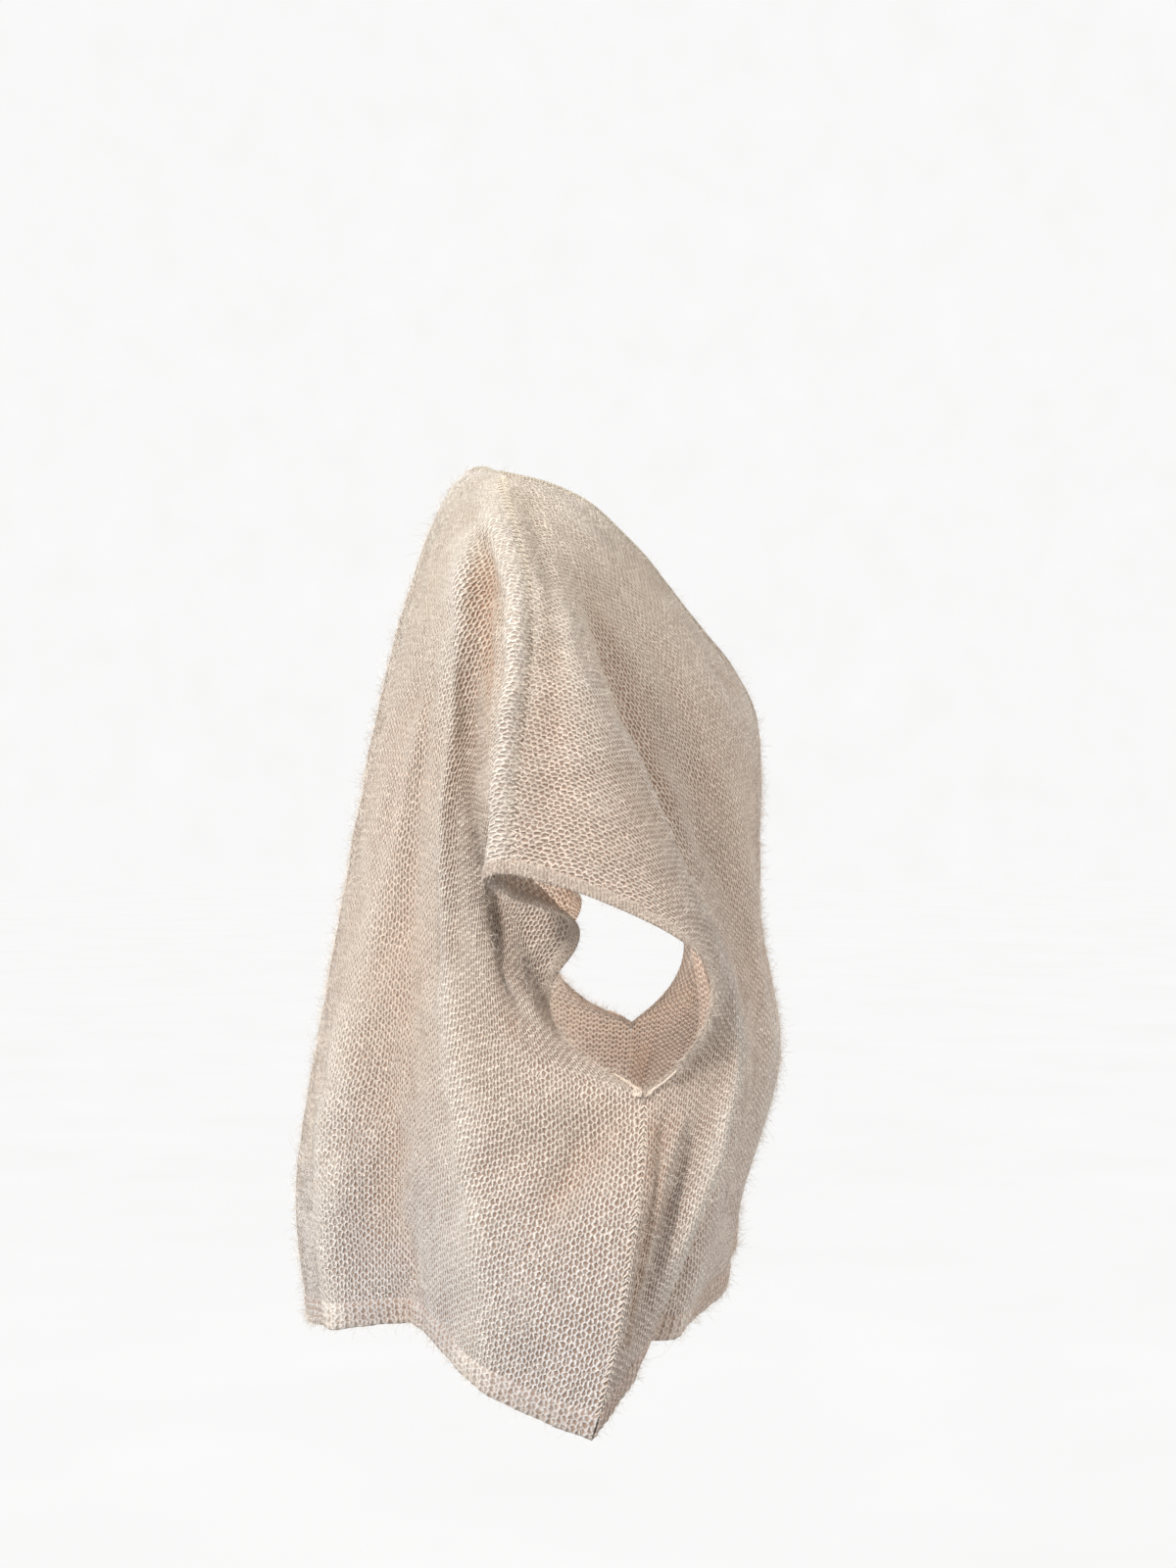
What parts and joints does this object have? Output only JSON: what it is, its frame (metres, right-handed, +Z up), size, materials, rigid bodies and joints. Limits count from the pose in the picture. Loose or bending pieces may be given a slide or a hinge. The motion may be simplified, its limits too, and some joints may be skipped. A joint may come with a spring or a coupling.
{
  "type": "sweater vest",
  "caption": "Wide, boxy pullover vest in brushed knit with a deep V neck, dropped shoulders and narrow ribbed hem, hollow as worn",
  "frame": {"origin": "middle of the neck opening, at the height of the two points where the shoulder seams meet the neck edge", "axes": "+Z up, -Y to the front of the garment, -X to the wearer's right side"},
  "size_m": [0.6236, 0.3459, 0.6254],
  "materials": {
    "oatmeal_knit": "brushed mohair stockinette",
    "oatmeal_rib": "brushed 1x1 rib",
    "pale_edge": "soft rolled knit edge"
  },
  "bodies": {
    "root": {"front_panel": "oatmeal_knit", "back_panel": "oatmeal_knit", "front_hem_rib": "oatmeal_rib", "back_hem_rib": "oatmeal_rib", "neck_edge": "pale_edge", "right_armhole_edge": "pale_edge", "left_armhole_edge": "pale_edge"}
  },
  "joints": []
}
